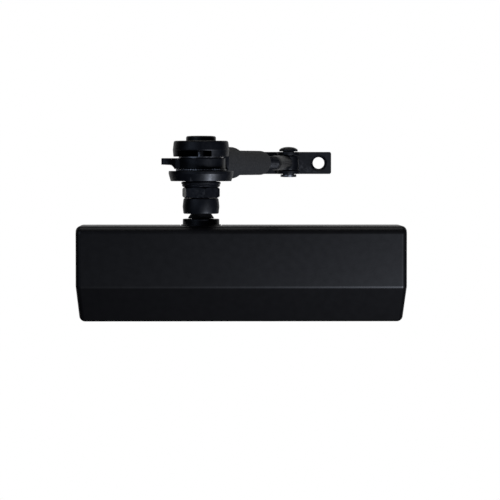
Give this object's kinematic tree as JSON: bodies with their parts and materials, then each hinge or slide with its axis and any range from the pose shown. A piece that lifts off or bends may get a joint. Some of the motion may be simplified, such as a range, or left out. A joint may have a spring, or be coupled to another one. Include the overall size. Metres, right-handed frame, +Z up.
{
  "type": "door closer",
  "caption": "Surface-mounted rack-and-pinion door closer with a black slip-on cover, a main arm, a hold-open elbow, an adjustable forearm and a frame shoe.",
  "frame": {"origin": "centre of the mounting plate's back face, where it meets the door", "axes": "+X along the cover, to the right as seen from the room; +Y into the door; +Z up, towards the arm"},
  "size_m": [0.23, 0.2158, 0.128],
  "materials": {
    "cover_paint": "satin black paint, fine and even",
    "arm_black": "black paint with a low bluish sheen",
    "sleeve_grey": "matt dark grey, fine cast grain",
    "bright_steel": "bare turned steel",
    "zinc_steel": "zinc plate, dull",
    "cast_aluminium": "die-cast, fine grain",
    "bronze": "turned bronze",
    "rubber": "matt black"
  },
  "bodies": {
    "body": {"mounting_plate": "zinc_steel", "closer_body": "cast_aluminium", "end_plug_left": "zinc_steel", "end_plug_right": "zinc_steel", "end_seal_left": "rubber", "end_seal_right": "rubber", "pinion_gland_upper": "arm_black", "pinion_gland_lower": "zinc_steel", "bearing_upper": "bronze", "bearing_lower": "bronze", "spindle_seal": "rubber", "body_screw_1": "zinc_steel", "body_screw_2": "zinc_steel", "body_screw_3": "zinc_steel", "body_screw_4": "zinc_steel", "cover_clip_left": "bright_steel", "cover_clip_right": "bright_steel", "clip_screw_left": "zinc_steel", "clip_screw_right": "zinc_steel", "return_spring": "bright_steel"},
    "cover_body": {"cover": "cover_paint"},
    "spindle": {"pinion_spindle": "arm_black", "main_arm": "arm_black", "arm_screw": "arm_black", "arm_washer": "arm_black", "elbow_stud": "bright_steel", "elbow_cap": "arm_black", "ratchet_disc": "arm_black", "serrated_ring": "bright_steel", "friction_washer": "bright_steel", "disc_spring": "arm_black", "thrust_collar": "arm_black"},
    "nut": {"hold_open_nut": "arm_black"},
    "cam": {"cam_plate": "arm_black"},
    "forearm": {"forearm_head": "arm_black", "elbow_bush": "bronze", "forearm_sleeve": "sleeve_grey"},
    "rod": {"forearm_rod": "arm_black", "eye_bush": "bronze"},
    "shoe": {"shoe_bracket": "arm_black", "shoe_pin": "arm_black", "pin_clip": "zinc_steel"},
    "piston": {"piston_rack": "bright_steel", "piston_ring_left": "rubber", "piston_ring_right": "rubber", "check_valve": "bronze"},
    "closing_valve_body": {"closing_valve": "bronze"},
    "latching_valve_body": {"latching_valve": "bronze"},
    "adjuster": {"spring_adjuster": "zinc_steel"},
    "seat": {"spring_seat": "zinc_steel"}
  },
  "joints": [
    {"name": "spindle_turn", "type": "hinge", "parent": "body", "child": "spindle", "pos_m": [-0.028, -0.025, 0.03], "axis": [0, 0, 1], "range_deg": [0, 170], "stiffness_Nm_per_rad": 2, "springref_deg": -28.65},
    {"name": "piston_slide", "type": "slide", "parent": "body", "child": "piston", "axis": [1, 0, 0], "range_m": [0, 0.0268], "deforming": ["return_spring"]},
    {"name": "elbow_swing", "type": "hinge", "parent": "spindle", "child": "forearm", "pos_m": [-0.028, -0.195, 0.086], "axis": [0, 0, 1], "range_deg": [-115, 20]},
    {"name": "cam_index", "type": "hinge", "parent": "spindle", "child": "cam", "pos_m": [-0.028, -0.195, 0.077], "axis": [0, 0, 1], "range_deg": [-30, 60]},
    {"name": "nut_turn", "type": "hinge", "parent": "spindle", "child": "nut", "pos_m": [-0.028, -0.195, 0.058], "axis": [0, 0, 1], "range_deg": [0, 60]},
    {"name": "rod_extend", "type": "slide", "parent": "forearm", "child": "rod", "axis": [0.3256, 0.9455, 0], "range_m": [-0.008, 0.012]},
    {"name": "shoe_pivot", "type": "hinge", "parent": "rod", "child": "shoe", "pos_m": [0.03353, -0.0163, 0.0772], "axis": [0, 0, 1], "range_deg": [-75, 75]},
    {"name": "cover_off", "type": "slide", "parent": "body", "child": "cover_body", "axis": [0, -1, 0], "range_m": [0, 0.12]},
    {"name": "closing_speed", "type": "hinge", "parent": "body", "child": "closing_valve_body", "pos_m": [-0.097, -0.0085, 0.017], "axis": [1, 0, 0], "range_deg": [-180, 180]},
    {"name": "latching_speed", "type": "hinge", "parent": "body", "child": "latching_valve_body", "pos_m": [-0.097, -0.0085, -0.017], "axis": [1, 0, 0], "range_deg": [-180, 180]},
    {"name": "spring_power", "type": "hinge", "parent": "body", "child": "adjuster", "pos_m": [0.1, -0.025, 0], "axis": [-1, 0, 0], "range_deg": [0, 1441]},
    {"name": "seat_slide", "type": "slide", "parent": "body", "child": "seat", "axis": [-1, 0, 0], "range_m": [0, 0.006]}
  ],
  "couplings": [
    {"joint": "piston_slide", "follows": "spindle_turn", "m_per_rad": 0.009},
    {"joint": "spring_power", "follows": "seat_slide", "rad_per_m": 4188.8}
  ]
}
